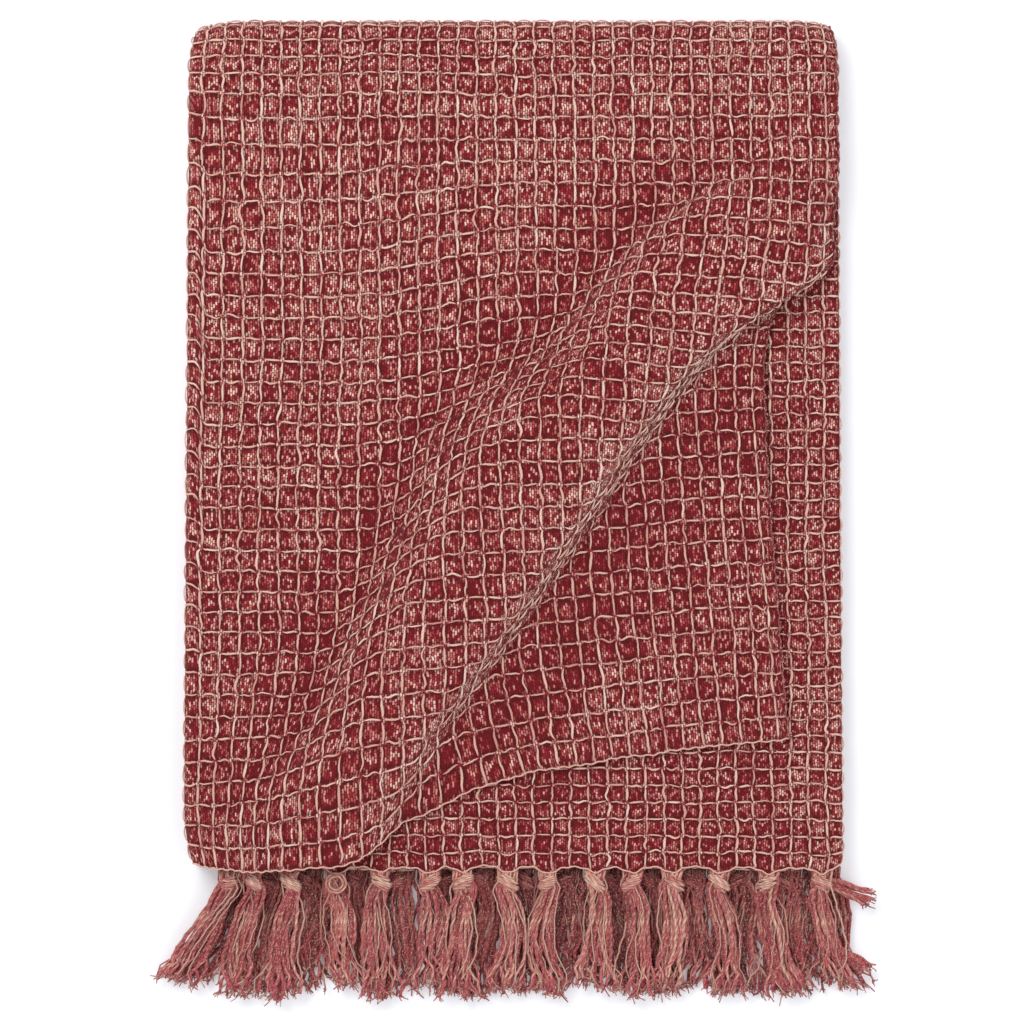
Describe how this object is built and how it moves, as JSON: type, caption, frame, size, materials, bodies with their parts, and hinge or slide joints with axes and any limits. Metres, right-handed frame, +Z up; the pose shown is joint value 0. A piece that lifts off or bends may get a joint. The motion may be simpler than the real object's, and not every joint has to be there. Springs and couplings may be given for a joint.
{
  "type": "folded cotton throw",
  "caption": "Waffle-weave cotton throw with knotted tassel fringe, folded flat, its top flap drawn up into one loose diagonal roll.",
  "frame": {"origin": "centre of the bounding box, on the surface that the throw lies on", "axes": "+Z up through the folded stack, +Y from the fringe towards the lengthwise fold, +X to the right seen from above"},
  "size_m": [0.5208, 0.722, 0.0529],
  "materials": {
    "waffle_cotton": "matt waffle weave, crimson with pale beige floats",
    "fringe_yarn": "matt twisted pink-brown yarn"
  },
  "bodies": {
    "root": {"throw_panel": "waffle_cotton", "fringe_upper": "fringe_yarn", "fringe_lower": "fringe_yarn"}
  },
  "joints": []
}
